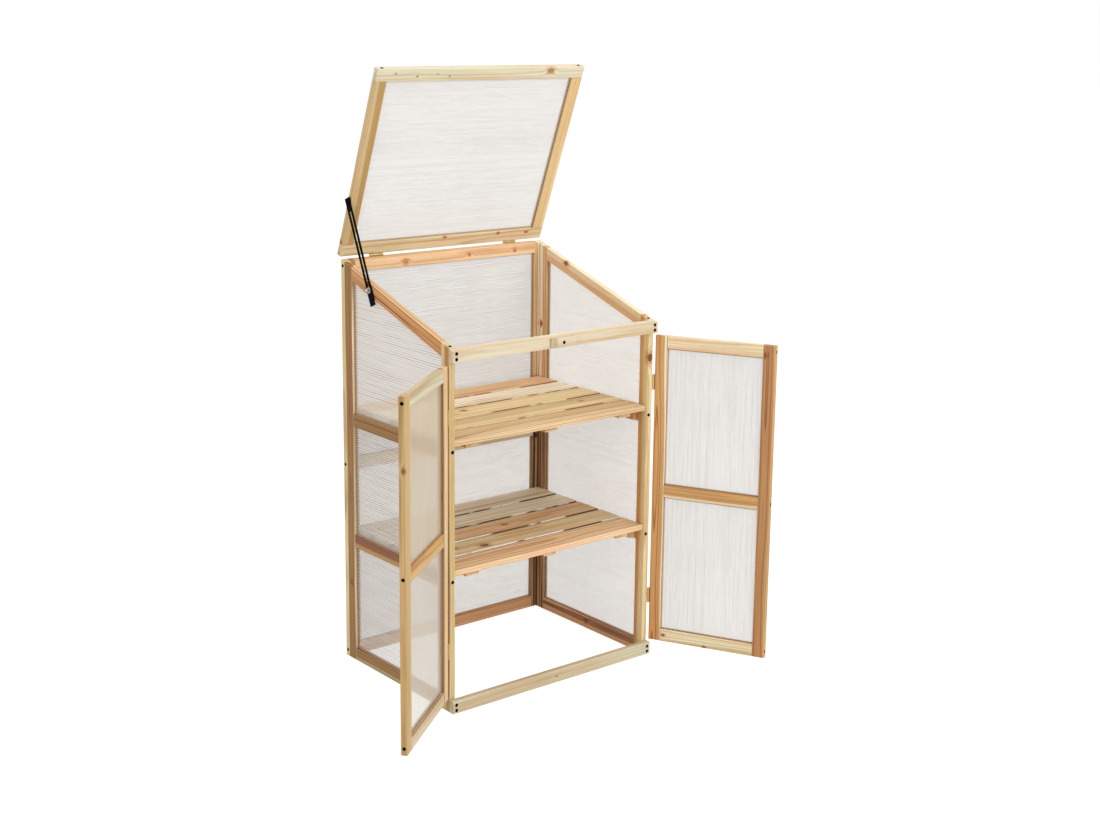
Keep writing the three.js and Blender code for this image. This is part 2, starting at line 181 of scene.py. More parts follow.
def noise(place, scale=1.0, detail=2.0, roughness=0.5, output="Fac"):
    """Cloudy noise from 0 to 1 at a place; three scales draw it out along the axis of the smallest."""
    if isinstance(scale, tuple):
        place = vector("MULTIPLY", place, scale)
        scale = 1.0
    inputs = {"Vector": place, "Scale": scale, "Detail": detail, "Roughness": roughness}
    return feed("TexNoise", inputs).outputs[output]


def luck(whole):
    """A random Value and Color for each whole number, the same in every render."""
    return feed("TexWhiteNoise", {"W": whole}, noise_dimensions="1D").outputs


def object_place(tree):
    """Where a point lies in the frame, because every object's origin is the frame's own."""
    return add_node(tree, "TexCoord").outputs["Object"]


def split(place):
    """A vector's numbers, as X, Y and Z."""
    return feed("SeparateXYZ", {0: place}).outputs


def joined(*parts):
    """Two or three numbers as a vector."""
    return feed("CombineXYZ", dict(enumerate(parts))).outputs[0]


def relief(height, strength, distance):
    """A normal that follows small heights."""
    inputs = {"Height": height, "Strength": strength, "Distance": distance}
    return feed("Bump", inputs).outputs[0]


def new_group(name, inputs, outputs):
    """An empty node group with the named sockets of each kind; hands back its inputs and its output node."""
    tree = bpy.data.node_groups.new(name, "ShaderNodeTree")
    kinds = {"number": "NodeSocketFloat", "colour": "NodeSocketColor", "vector": "NodeSocketVector"}
    for direction, sockets in (("INPUT", inputs), ("OUTPUT", outputs)):
        for kind, labels in sockets.items():
            for label in labels.split(", "):
                tree.interface.new_socket(label, in_out=direction, socket_type=kinds[kind])
    return tree, tree.nodes.new("NodeGroupInput").outputs, tree.nodes.new("NodeGroupOutput")


def use_group(tree, group, **inputs):
    """Places a group in a tree; each keyword names a socket, with underscores for its spaces."""
    node = add_node(tree, "Group", node_tree=group)
    return fill(node, {key.replace("_", " "): value for key, value in inputs.items()}).outputs


def emptied(data):
    """The node tree of a material or a world, with nothing in it."""
    data.use_nodes = True
    data.node_tree.nodes.clear()
    return data.node_tree


def new_material(name):
    """A material with only a Principled shader, and its tree."""
    material = bpy.data.materials.new(name)
    tree = emptied(material)
    shader = add_node(tree, "BsdfPrincipled")
    feed("OutputMaterial", {"Surface": shader.outputs[0]})
    return material, tree, shader


def colour(code):
    """A colour from its web code, turned from screen values into the linear ones that light adds up in."""
    screen = np.array([int(code[i : i + 2], 16) for i in (0, 2, 4)]) / 255
    linear = np.where(screen <= 0.04045, screen / 12.92, ((screen + 0.055) / 1.055) ** 2.4)
    return (*linear.tolist(), 1.0)


def tint(amount, tone, code):
    """A tone multiplied by a web colour, as a stain sinks into wood."""
    return mix(amount, tone, code, "MULTIPLY")


WHITE = "FFFFFF"
print("helpers ready")

# %% [markdown]
# ## Softwood that is the same all the way through
# A flat picture of grain would slip where a batten's face meets its edge. Real grain is solid: a tree is a
# stack of yearly rings round its pith, and a saw cuts a batten out somewhere beside that pith. The group
# below works the same way. It measures how far a point lies from the pith, lets the pith wander a little
# along the tree, and reads the yearly rings and the brown heartwood from that one distance. Fibres, bands and
# flecks are noise drawn out along the grain. Faces then show arches, edges show stripes and ends show arcs,
# and all of them meet at the corners.

# %% The softwood group
SEED_STEP = (13.7, 5.1, 3.3)
PITH_WANDER = 0.022
YEAR_UNEVEN = 3.0
HEART_RAGGED = 0.008
HEART_FRAYED = 0.002
HEART_BORDER = (-0.0065, -0.0030)
CASTS = ("F1F2D8", "FCE9D4")
CAST_SHARE = 0.5
STAIN_TINT = "F3EBDC"
BAND_TINT = "EBD3B0"
LATE_TINT = "AE7A3A"
FLECK_TINT = "8C5A30"


def make_softwood():
    """Distance from the pith over the ring width gives the ring; its fraction gives pale and dark wood."""
    tree, given, result = new_group(
        "Softwood",
        dict(
            vector="Place, Pith",
            number="Push, Seed, Ring Width, Heart Radius, Figure",
            colour="Sapwood, Heartwood",
        ),
        dict(colour="Colour", number="Late, Fibre"),
    )
    shift = feed("VectorMath", {0: SEED_STEP, "Scale": given["Seed"]}, operation="SCALE")
    seeded = vector("ADD", given["Place"], shift.outputs["Vector"])

    # The pith wanders by some millimetres over each half metre; noise has 0.5 as its middle
    wander = noise(seeded, (1.6, 7.0, 7.0), output="Color")
    wander = vector("SUBTRACT", wander, (0.5, 0.5, 0.5))
    wander = vector("MULTIPLY", wander, (0.0, PITH_WANDER, PITH_WANDER))
    across = vector("MULTIPLY", given["Place"], (0.0, 1.0, 1.0))
    across = vector("ADD", vector("SUBTRACT", across, given["Pith"]), wander)
    radius = number("ADD", vector("LENGTH", across), given["Push"])

    # Rings are wider in good years; late wood darkens slowly and stops sharply, more in some years
    uneven = noise(joined(radius, given["Seed"]), 70.0, detail=1.0)
    phase = number("DIVIDE", radius, given["Ring Width"])
    phase = number("MULTIPLY_ADD", uneven, YEAR_UNEVEN, phase)
    part = number("FRACT", phase)
    late = times(ramp(part, 0.45, 0.92), fall(part, 0.92, 1.0))
    year = luck(number("FLOOR", phase))["Value"]
    late = times(late, ramp(year, 0.0, 1.0, start=0.25))

    # Fibres run along the grain, a fraction of a millimetre across, with broad bands, stains and flecks
    fibre = noise(seeded, (12.0, 620.0, 620.0), detail=3.0, roughness=0.65)
    bands = noise(seeded, (1.1, 60.0, 60.0))
    stain = noise(seeded, (4.0, 16.0, 16.0), detail=1.0)
    fleck = noise(seeded, (70.0, 800.0, 800.0), detail=1.0)
    hue = noise(seeded, (2.6, 34.0, 34.0))

    # Heartwood fills the middle of the tree, with a ragged border
    ragged = number("MULTIPLY_ADD", bands, HEART_RAGGED, radius)
    ragged = number("MULTIPLY_ADD", fibre, HEART_FRAYED, ragged)
    edge = number("SUBTRACT", given["Heart Radius"], ragged)
    tone = mix(ramp(edge, *HEART_BORDER), given["Sapwood"], given["Heartwood"])

    # Everything else is laid over that colour as thin stains
    cast = mix(ramp(hue, 0.38, 0.62), *CASTS)
    tone = mix(CAST_SHARE, tone, cast, "MULTIPLY")
    tone = tint(ramp(stain, 0.35, 0.70, end=0.8), tone, STAIN_TINT)
    tone = tint(ramp(bands, 0.40, 0.72, end=0.7), tone, BAND_TINT)
    tone = tint(number("MULTIPLY", late, given["Figure"], clamp=True), tone, LATE_TINT)
    tone = tint(ramp(fleck, 0.72, 0.80, end=0.5), tone, FLECK_TINT)
    tone = mix(1.0, tone, ramp(fibre, 0.3, 0.72, start=0.87, end=1.05), "MULTIPLY")
    fill(result, {"Colour": tone, "Late": late, "Fibre": fibre})
    return tree


softwood = make_softwood()
print("group:", softwood.name, "nodes:", len(softwood.nodes))

# %% [markdown]
# ## Knots
# A knot is the foot of a branch. Where a saw crosses it, the face shows a dark oval with its own small
# rings, and the grain round it bends aside. One group measures how far a point lies from the knot's middle
# in knot radii. It gives back the wood with the knot laid over it, and how far the rings are pushed aside.

# %% The knot group
KNOT_OVAL = 0.72
KNOT_ROUGH = 0.5
KNOT_RINGS = 3.3
BEND_PUSH = 1.1
BEND_FADE = 0.22


def make_knot():
    """Distance from the knot over its radius: under one is knot, one is bark, beyond it the grain bends."""
    tree, given, result = new_group(
        "Knot",
        dict(vector="Place, Middle", number="Radius, Before, Depth", colour="Wood"),
        dict(number="Push", colour="Colour"),
    )
    apart = vector("SUBTRACT", given["Place"], given["Middle"])
    oval = vector("MULTIPLY", apart, (KNOT_OVAL, 1.0, 1.0))
    rough = noise(given["Place"], 160.0)
    reach = number("DIVIDE", vector("LENGTH", oval), given["Radius"])
    reach = number("ADD", reach, number("MULTIPLY_ADD", rough, KNOT_ROUGH, -KNOT_ROUGH / 2))
    inside = fall(reach, 0.86, 1.04)
    bark = times(ramp(reach, 0.5, 0.8), fall(reach, 0.98, 1.2))

    # A deep knot has rings, a dark middle and black bark; a shallow one is only a darker oval
    small = number("FRACT", times(reach, KNOT_RINGS))
    rings = mix(ramp(small, 0.2, 0.9), "8C5E2E", "63401C")
    core = mix(fall(reach, 0.05, 0.4), rings, "3E2410")
    deep = mix(bark, core, "2A1A08")
    shallow = mix(bark, "D39C5C", "9A6A32")
    face = mix(given["Depth"], shallow, deep)
    halo = ramp(reach, 0.9, 2.8, start=0.75, end=0.0)
    stained = tint(halo, given["Wood"], "DB9648")

    # Rings are pushed aside by the knot's radius, which fades with the square of the distance
    far = times(reach, reach)
    swell = number("EXPONENT", times(far, -BEND_FADE))
    swell = times(swell, given["Radius"])
    push = number("MULTIPLY_ADD", swell, BEND_PUSH, given["Before"])
    fill(result, {"Push": push, "Colour": mix(inside, stained, face)})
    return tree


knot = make_knot()
print("group:", knot.name)

# %% [markdown]
# ## Edges and corners
# Sanded corners catch the light, and dust and painted shade gather where a batten meets a sheet. Both depend on
# the shape nearby and not on the material, so one group serves wood and metal alike. The bevelled normal leans
# away from the real one near an edge, and ambient occlusion tells how boxed in a point is, which sets where
# dirt and painted shade darken the colour.

# %% The edge and corner group


def make_edges():
    """Edge is one minus the agreement of the true normal with a rounded one; Corner is one minus openness."""
    needs, gives = dict(number="Round, Shade"), dict(number="Edge, Corner")
    tree, given, result = new_group("Edges and corners", needs, gives)
    true_normal = add_node(tree, "NewGeometry").outputs["True Normal"]
    rounded = feed("Bevel", {"Radius": given["Round"]}, samples=3).outputs[0]
    leaning = number("SUBTRACT", 1.0, vector("DOT_PRODUCT", true_normal, rounded))
    # Corner tells where dirt and painted shade darken the colour
    openness = feed("AmbientOcclusion", {"Distance": given["Shade"]}, samples=6)
    boxed = number("SUBTRACT", 1.0, openness.outputs["AO"])
    fill(result, {"Edge": ramp(leaning, 0.02, 0.22), "Corner": ramp(boxed, 0.12, 0.85)})
    return tree


edges = make_edges()
print("group:", edges.name)

# %% [markdown]
# ## Where each batten lay before it was turned
# The doors and the lid stand open, so their grain would run askew if it were read straight from the room's
# axes. Each joint's upper limit is its closed pose. Turning a node back by it, and the lid and the two
# sloping rails down by the roof's slope, lays every batten square. Its longest side is then its grain.

# %% Board frames
BACK_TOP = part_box("back_left_stile")[1]
FRONT_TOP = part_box("front_top_rail")[1]
SLOPE = math.atan2(BACK_TOP.z - FRONT_TOP.z, BACK_TOP.y - FRONT_TOP.y)
CLOSING = {"left_door": "left_door_hinge", "right_door": "right_door_hinge", "lid": "lid_hinge"}
SLOPING = {"left_sloped_top_rail", "right_sloped_top_rail"}


def closing_matrix(body):
    """The turn about the body's hinge, by the joint's upper limit, that shuts it."""
    if body not in CLOSING:
        return Matrix()
    joint = joints[CLOSING[body]]
    pin = Matrix.Translation(Vector(joint["pos_m"]))
    turn = Matrix.Rotation(math.radians(joint["range_deg"][1]), 4, Vector(joint["axis"]))
    return pin @ turn @ pin.inverted()


def mesh_points(node):
    """All the corners of a node's mesh as one array."""
    mesh = nodes[node].data
    points = np.empty(len(mesh.vertices) * 3)
    mesh.vertices.foreach_get("co", points)
    return points.reshape(-1, 3)


def square_matrix(node):
    """Closes a node, then lays it level if it follows the roof."""
    body = body_of[node]
    square = closing_matrix(body)
    if body == "lid" or node in SLOPING:
        square = Matrix.Rotation(-SLOPE, 4, "X") @ square
    return square


def square_box(node):
    """The lowest and highest corners of a node in its square pose."""
    square = square_matrix(node)
    points = mesh_points(node) @ np.array(square.to_3x3()).T + np.array(square.translation)
    return points.min(axis=0), points.max(axis=0)


def laid_matrix(node, order):
    """Object coordinates to ones that take the square pose's axes in this order, with the middle at zero."""
    low, high = square_box(node)
    turn = np.eye(3)[order]
    if np.linalg.det(turn) < 0:
        turn[2] *= -1
    middle = Matrix.Translation(Vector(-(low + high) / 2))
    return Matrix(turn.tolist()).to_4x4() @ middle @ square_matrix(node)


def board_matrix(node):
    """A board's own coordinates: X along the longest side, Z through the thinnest."""
    low, high = square_box(node)
    return laid_matrix(node, np.argsort(low - high))


def board_place(tree, matrix):
    """The board's own coordinates in a material, by a Mapping node on Object coordinates."""
    move, turn = matrix.translation, matrix.to_euler("XYZ")
    inputs = {"Vector": object_place(tree), "Location": move, "Rotation": turn}
    return feed("Mapping", inputs, vector_type="POINT").outputs[0]


print("roof slope in degrees:", round(math.degrees(SLOPE), 2))

# %% [markdown]
# ## The boards
# No two battens come from the same place in a tree. A recipe names the batten's pale and dark wood, where the
# pith lay beside it, how wide its years and its heartwood were, and how strongly the rings show. Knots stand
# in a table of their own. Places are in the board's own coordinates: along it, across its wide face, and
# through its thickness. A pith far to one side gives straight stripes, and a pith behind the wide face gives
# flames and ovals.

# %% Tones and recipes
TONES = {
    "cream": "F3E6CA", "pale": "F6EDD9", "white": "FDF9EE", "chalk": "FFFDF0",
    "straw": "EBD8AC", "sage": "E3D6A8", "peach": "EFCFAA", "honey": "E4BF8C",
    "amber": "D8A66C", "apricot": "E6B48A", "brown": "BB8A58", "walnut": "9A6C3E",
    "umber": "A07A40", "ochre": "BE9A60", "gold": "D5AD74", "wheat": "D8C49C",
    "moss": "BEB486", "linen": "D2C6A2", "bone": "DEDAC6", "milk": "DBCFBC",
    "bronze": "A8803E", "biscuit": "E0C8A2", "sand": "CFB684", "ash": "D2CDB9",
    "oat": "E2D4B6", "lichen": "A8A07A", "cocoa": "8E5F32",
}

# Pale and dark wood, pith across and through, ring width, heartwood's radius, strength of the rings
BOARDS = {
    "front_top_rail": ("milk", "linen", (0.004, -0.03), 0.0062, 0.0, 0.2),
    "front_bottom_rail": ("ash", "moss", (0.06, -0.05), 0.005, 0.0, 0.3),
    "left_front_stile": ("sage", "brown", (-0.004, 0.018), 0.0038, 0.016, 0.8),
    "right_front_stile": ("straw", "amber", (0.022, 0.0075), 0.004, 0.019, 0.6),
    "left_back_stile": ("cream", "umber", (0.0, 0.012), 0.0042, 0.017, 0.8),
    "right_back_stile": ("chalk", "peach", (-0.012, 0.006), 0.0052, 0.0165, 1.0),
    "left_bottom_rail": ("moss", "umber", (0.02, -0.008), 0.0045, 0.024, 0.8),
    "right_bottom_rail": ("apricot", "walnut", (0.004, 0.0), 0.0042, 0.012, 0.8),
    "left_lower_mid_rail": ("ochre", "cocoa", (-0.012, -0.016), 0.0042, 0.021, 0.8),
    "right_lower_mid_rail": ("cream", "amber", (0.03, 0.0), 0.004, 0.03, 0.8),
    "left_upper_mid_rail": ("cream", "umber", (-0.012, -0.010), 0.0042, 0.03, 0.9),
    "right_upper_mid_rail": ("cream", "amber", (-0.02, 0.01), 0.004, 0.03, 0.8),
    "left_sloped_top_rail": ("peach", "amber", (-0.006, -0.012), 0.0040, 0.019, 1.3),
    "right_sloped_top_rail": ("cream", "peach", (-0.02, -0.0075), 0.0045, 0.0215, 0.5),
    "back_left_stile": ("sage", "brown", (0.034, 0.004), 0.0046, 0.032, 0.9),
    "back_right_stile": ("white", "straw", (-0.018, -0.0075), 0.0058, 0.0115, 1.0),
    "back_bottom_rail": ("pale", "apricot", (0.02, 0.012), 0.0044, 0.034, 0.9),
    "back_middle_rail": ("pale", "cream", (0.03, 0.01), 0.0044, 0.03, 0.7),
    "back_top_rail": ("peach", "amber", (0.01, -0.03), 0.005, 0.03, 0.6),
    "left_door_free_stile": ("sand", "umber", (0.03, -0.004), 0.004, 0.016, 0.6),
    "left_door_hinge_stile": ("cream", "bronze", (0.022, -0.002), 0.004, 0.012, 0.7),
    "left_door_top_rail": ("ash", "straw", (0.01, 0.04), 0.005, 0.0, 0.4),
    "left_door_middle_rail": ("wheat", "gold", (0.01, 0.02), 0.005, 0.03, 0.5),
    "left_door_bottom_rail": ("milk", "lichen", (0.026, -0.012), 0.005, 0.014, 0.4),
    "right_door_hinge_stile": ("pale", "amber", (0.008, 0.012), 0.0046, 0.019, 0.8),
    "right_door_free_stile": ("gold", "brown", (0.004, 0.014), 0.0046, 0.0155, 0.8),
    "right_door_top_rail": ("cream", "honey", (0.02, -0.04), 0.005, 0.024, 0.5),
    "right_door_middle_rail": ("pale", "gold", (0.008, -0.012), 0.005, 0.0165, 0.9),
    "right_door_bottom_rail": ("cream", "wheat", (-0.03, -0.03), 0.005, 0.03, 0.6),
    "lid_front_rail": ("bone", "sage", (-0.01, 0.022), 0.0044, 0.0, 0.4),
    "lid_back_rail": ("oat", "amber", (0.012, 0.03), 0.0046, 0.032, 0.6),
    "lid_left_stile": ("wheat", "ochre", (0.03, 0.004), 0.0042, 0.031, 0.7),
    "lid_right_stile": ("straw", "gold", (-0.03, 0.0), 0.0045, 0.018, 0.5),
    "turn_button": ("milk", "linen", (0.004, -0.04), 0.006, 0.0, 0.25),
}

# A knot is along, across and through the board, its radius, and its depth of colour from 0 to 1
FACE = 0.0075
KNOTS = {
    "front_bottom_rail": [(0.001, 0.0, FACE, 0.0014, 0.9)],
    "right_front_stile": [(0.3235, -0.013, 0.004, 0.0068, 1.0)],
    "left_back_stile": [(-0.294, 0.0, FACE, 0.004, 0.9)],
    "right_back_stile": [(0.2809, 0.004, FACE, 0.0042, 1.0)],
    "right_bottom_rail": [(0.0027, 0.002, -FACE, 0.004, 0.9)],
    "right_sloped_top_rail": [(0.11, 0.011, -FACE, 0.005, 0.9)],
    "back_right_stile": [(0.2775, 0.0047, -FACE, 0.004, 0.9), (-0.02, -0.006, -FACE, 0.0045, 1.0)],
    "back_top_rail": [
        (-0.1267, -0.004, FACE, 0.0042, 0.3),
        (0.0624, -0.002, FACE, 0.003, 0.6),
        (0.205, -0.003, FACE, 0.003, 0.6),
    ],
    "left_door_free_stile": [(0.2303, 0.0149, 0.0028, 0.0036, 0.9)],
    "left_door_hinge_stile": [(0.1, 0.013, 0.0, 0.0045, 0.9)],
    "right_door_free_stile": [(0.3608, 0.0098, FACE, 0.003, 0.9)],
    "right_door_bottom_rail": [(0.1105, 0.001, -FACE, 0.003, 0.9), (0.0035, -0.012, -FACE, 0.003, 0.9)],
    "lid_front_rail": [
        (0.1964, -0.006, -FACE, 0.0052, 0.5),
        (-0.25, -0.004, -FACE, 0.0012, 0.6),
        (-0.19, 0.003, -FACE, 0.0015, 0.8),
        (-0.135, -0.001, -FACE, 0.0011, 0.5),
        (-0.1, 0.004, -FACE, 0.0013, 0.6),
    ],
    "lid_back_rail": [
        (-0.006, -0.012, -FACE, 0.0026, 0.7),
        (0.158, -0.01, -FACE, 0.0026, 0.7),
        (0.249, -0.0056, -FACE, 0.0028, 0.7),
    ],
    "lid_left_stile": [(0.2038, -0.012, -0.002, 0.004, 0.9)],
}

# Painted shade darkens the right corner's two back stiles below the upper shelf, up to a place along them; the
# sign is the inner face's in Z
UNDER_SHELF_SHADE = {"right_back_stile": (0.14, 1.0), "back_right_stile": (0.14, -1.0)}
print("battens:", len(BOARDS), "with knots:", len(KNOTS))

# %% [markdown]
# ## Finishing the wood
# The knots come first, because the rings must bend round them: their pushes are added up and fed to the
# softwood, and each knot is then laid over its colour. Handling has paled the corners, and dirt and painted
# shade brown the wood where a batten meets a sheet. Painted shade also darkens the right corner's two back
# stiles below the upper shelf. Rings and fibres stand up a little, as they do on planed fir.

# %% Wood for every batten
EDGE_ROUND = 0.0012
CORNER_REACH = 0.003
WORN_TONE = "F7E8CC"
WORN_SHARE = 0.3
# Corners and the wood beside the sheets darken with dirt and painted shade
CORNER_DIRT_AND_SHADE_TINT = "A67844"
CORNER_DIRT_AND_SHADE_SHARE = 0.8
WOOD_ROUGH = (0.5, 0.66)
GRAIN_DEEP = 0.0004
BRASS_TONE = "C2A872"
LEAF_FACE = 0.00002
# Painted shade below the upper shelf: its fade, its reach in from the inner face and its tint
UNDER_SHELF_SHADE_FADE = 0.004
UNDER_SHELF_SHADE_DEEP = 0.006
UNDER_SHELF_SHADE_TINT = "7C5228"


def paint_under_shelf_shade(place, shown, under_shelf_shade):
    """Painted shade darkens the stile below the shelf, in streaks on its inner face and up to one height."""
    top, inner = under_shelf_shade
    parts = split(place)
    below = fall(parts["X"], top - UNDER_SHELF_SHADE_FADE, top + UNDER_SHELF_SHADE_FADE)
    inside = ramp(times(parts["Z"], inner), 0.0, UNDER_SHELF_SHADE_DEEP)
    streak = ramp(noise(place, (1.2, 130.0, 130.0)), 0.36, 0.56, start=0.35)
    amount = times(times(below, inside), streak)
    # The shelf's shadow is painted over the wood
    return tint(amount, shown, UNDER_SHELF_SHADE_TINT)


def knotted_wood(tree, place, knots, **wood_inputs):
    """Softwood with its knots: first the pushes are added up, then each knot is laid over the wood."""
    pushed = 0.0
    for *middle, radius, _ in knots:
        pushed = use_group(tree, knot, Place=place, Middle=middle, Radius=radius, Before=pushed)["Push"]
    wood = use_group(tree, softwood, Place=place, Push=pushed, **wood_inputs)
    shown = wood["Colour"]
    for *middle, radius, depth in knots:
        laid = use_group(tree, knot, Place=place, Middle=middle, Radius=radius, Depth=depth, Wood=shown)
        shown = laid["Colour"]
    return shown, wood


def finish_wood(tree, shader, shown, wood):
    """Pale worn edges, corners browned by dirt and painted shade, and a faint relief of rings and fibres."""
    worn = use_group(tree, edges, Round=EDGE_ROUND, Shade=CORNER_REACH)
    shown = mix(times(worn["Edge"], WORN_SHARE), shown, WORN_TONE)
    # Dirt and painted shade: the Corner mask browns the wood where it is boxed in
    shown = tint(times(worn["Corner"], CORNER_DIRT_AND_SHADE_SHARE), shown, CORNER_DIRT_AND_SHADE_TINT)
    rough = ramp(wood["Fibre"], 0.2, 0.8, *WOOD_ROUGH)
    height = number("MULTIPLY_ADD", wood["Late"], 0.5, wood["Fibre"])
    normal = relief(height, strength=0.35, distance=GRAIN_DEEP)
    fill(shader, {"Base Color": shown, "Roughness": rough, "Normal": normal})
    return shown, rough


def add_leaves(tree, shader, shown, rough):
    """Hinge leaves are joined to the front stiles: whatever lies outside the frame's sides is brass."""
    outside = number("ABSOLUTE", split(object_place(tree))["X"])
    brass = number("GREATER_THAN", outside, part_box("front_top_rail")[1].x + LEAF_FACE)
    shown = mix(brass, shown, BRASS_TONE)
    polish = number("SUBTRACT", rough, times(brass, 0.2))
    fill(shader, {"Base Color": shown, "Metallic": brass, "Roughness": polish})


def make_wood(node, seed):
    """One batten's material."""
    pale, dark, pith, ring, core, figure = BOARDS[node]
    material, tree, shader = new_material("wood_" + node)
    place = board_place(tree, board_matrix(node))
    shown, wood = knotted_wood(
        tree,
        place,
        KNOTS.get(node, ()),
        Pith=(0.0, *pith),
        Seed=seed,
        Ring_Width=ring,
        Heart_Radius=core,
        Sapwood=TONES[pale],
        Heartwood=TONES[dark],
        Figure=figure,
    )
    # Two stiles get painted shade below the upper shelf
    if node in UNDER_SHELF_SHADE:
        shown = paint_under_shelf_shade(place, shown, UNDER_SHELF_SHADE[node])
    shown, rough = finish_wood(tree, shader, shown, wood)
    if node in ("left_front_stile", "right_front_stile"):
        add_leaves(tree, shader, shown, rough)
    return material


def dress(node, material):
    """Gives a solid its one finish."""
    nodes[node].data.materials.clear()
    nodes[node].data.materials.append(material)


for seed, node in enumerate(BOARDS):
    dress(node, make_wood(node, float(seed)))
print("wood materials:", len(BOARDS))

# %% [markdown]
# ## The shelves
# A shelf is five slats screwed to three battens underneath, and the frame carries it as one solid. A single
# material still has to give each slat its own wood. The slat's number is the whole part of its distance
# from the front edge over the slat pitch, and that number picks its tones from small ramps. The sawn edges
# inside the gaps get painted light at the top and painted shade lower down and in some stretches, because
# they are what tells one slat from the next.

# %% Slatted shelf material
SLATS = 5
SLAT_GAP = 0.009
SLAT_SHIFT = 1.7
BATTEN_DROP = 0.010
UNDER_MARGIN = 0.0001
PITH_MIDDLE = (0.0, 0.5, 0.15)
PITH_SPREAD = (0.0, 0.06, 0.09)
SHELF_WOOD = dict(Ring_Width=0.0042, Heart_Radius=0.034, Figure=0.9)
WALL_MARGIN = 0.0004
FRONT_MARGIN = 0.004
GAP_SHADE_FROM = 0.0024
GAP_SHADE_TO = 0.0034
KNOT_DEPTH = 0.9


def chosen(index, tones):
    """The colour of a numbered slat, from a stepped ramp with one stop for each."""
    middle = number("DIVIDE", number("ADD", index, 0.5), float(len(tones)))
    node = feed("ValToRGB", {0: middle})
    node.color_ramp.interpolation = "CONSTANT"
    stops = node.color_ramp.elements
    while len(stops) < len(tones):
        stops.new(0.5)
    for i, tone in enumerate(tones):
        stops[i].position = i / len(tones)
        stops[i].color = colour(TONES[tone])
    return node.outputs[0]


def paint_gap_light_and_shade(parts, from_middle, half_slat, box, tones, shown):
    """The slats' sawn edges inside the gaps: painted light at the top, painted shade further down and in some
    stretches.
    """
    low, high = box
    wall = number("GREATER_THAN", number("ABSOLUTE", from_middle), half_slat - WALL_MARGIN)
    behind = number("GREATER_THAN", parts["Y"], low.y + FRONT_MARGIN)
    stretch = noise(joined(parts["X"], times(parts["Y"], 4.0)), 9.0)
    stretch = number("MULTIPLY_ADD", parts["X"], 0.5, stretch)
    # Painted shade low on the gap wall and in random stretches, painted light above it
    deep = fall(parts["Z"], high.z - GAP_SHADE_TO, high.z - GAP_SHADE_FROM)
    brown = number("MAXIMUM", deep, ramp(stretch, 0.50, 0.56))
    edge = mix(brown, *tones)
    return mix(times(wall, behind), shown, edge)


def make_shelf(node, seed, sap, heart, knots, gap_light_and_shade_tones):
    """Slat number from Y, the slat's own middle subtracted, and battens told apart by their height."""
    low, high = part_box(node)
    pitch = (high.y - low.y + SLAT_GAP) / SLATS
    slat_under = low.z + BATTEN_DROP
    material, tree, shader = new_material("wood_" + node)
    parts = split(object_place(tree))
    from_front = number("SUBTRACT", parts["Y"], low.y - SLAT_GAP / 2)
    index = number("FLOOR", number("DIVIDE", from_front, pitch))
    own_middle = times(number("ADD", index, 0.5), pitch)
    own_x = number("MULTIPLY_ADD", index, SLAT_SHIFT, parts["X"])
    own_y = number("SUBTRACT", from_front, own_middle)
    own_z = number("SUBTRACT", parts["Z"], (slat_under + high.z) / 2)
    slat = joined(own_x, own_y, own_z)
    batten = joined(parts["Y"], parts["X"], parts["Z"])
    below = number("LESS_THAN", parts["Z"], slat_under - UNDER_MARGIN)
    inputs = {0: below, 4: slat, 5: batten}
    place = feed("Mix", inputs, data_type="VECTOR", factor_mode="UNIFORM").outputs[1]

    # Each slat was sawn from another place, so its pith lies elsewhere too
    spread = luck(number("ADD", index, seed))["Color"]
    spread = vector("SUBTRACT", spread, PITH_MIDDLE)
    top = (high.z - slat_under) / 2
    placed = [(x + SLAT_SHIFT * count, y, top, radius, KNOT_DEPTH) for count, x, y, radius in knots]
    shown, wood = knotted_wood(
        tree,
        place,
        placed,
        Pith=vector("MULTIPLY", spread, PITH_SPREAD),
        Seed=seed,
        Sapwood=chosen(index, sap),
        Heartwood=chosen(index, heart),
        **SHELF_WOOD,
    )
    shown = paint_gap_light_and_shade(parts, own_y, (pitch - SLAT_GAP) / 2, (low, high), gap_light_and_shade_tones, shown)
    finish_wood(tree, shader, shown, wood)
    dress(node, material)


make_shelf(
    "lower_shelf",
    3.0,
    # The two back slats are chalk and white: painted light against the shade under the upper shelf
    ("peach", "cream", "peach", "chalk", "chalk"),
    ("apricot", "straw", "amber", "chalk", "white"),
    ((1, -0.2, 0.01, 0.008), (1, -0.12, -0.015, 0.008), (2, 0.015, 0.0, 0.005), (4, -0.1, -0.01, 0.007)),
    # Painted light and painted shade for the gap walls
    ("FFFCF4", "5A3A1C"),
)
make_shelf(
    "upper_shelf",
    8.0,
    ("biscuit", "straw", "straw", "chalk", "peach"),
    ("wheat", "wheat", "gold", "white", "peach"),
    ((1, 0.189, 0.008, 0.004), (2, -0.1, 0.01, 0.005)),
    # Painted light and painted shade for the gap walls
    ("EFD9AE", "94663A"),
)
print("shelves done")

# %% [markdown]
# ## Twin-wall sheet
# The sheets are extruded plastic: two thin skins joined by hundreds of small webs a few millimetres apart.
# From a distance the webs draw fine broken lines, and between them shapes behind the sheet show through, pale
# and soft. The solid stays a plain plate. Its material repeats one web profile across the flutes: dense on
# the web and clearer between, on both faces, so the lines shift against each other as the eye moves. Clear
# here means a low alpha, which lets a ray through unbent. Shadow rays meet a lower alpha still, because a
# real sheet spreads the light that it takes up, and the inside of a greenhouse is bright.

# %% Sheet material
WEB_PITCH = 0.0058
WEB_DRIFT = 0.6
GROOVE_DEEP = 0.008
RIM_WIDE = 0.006
RIM_START = -0.001
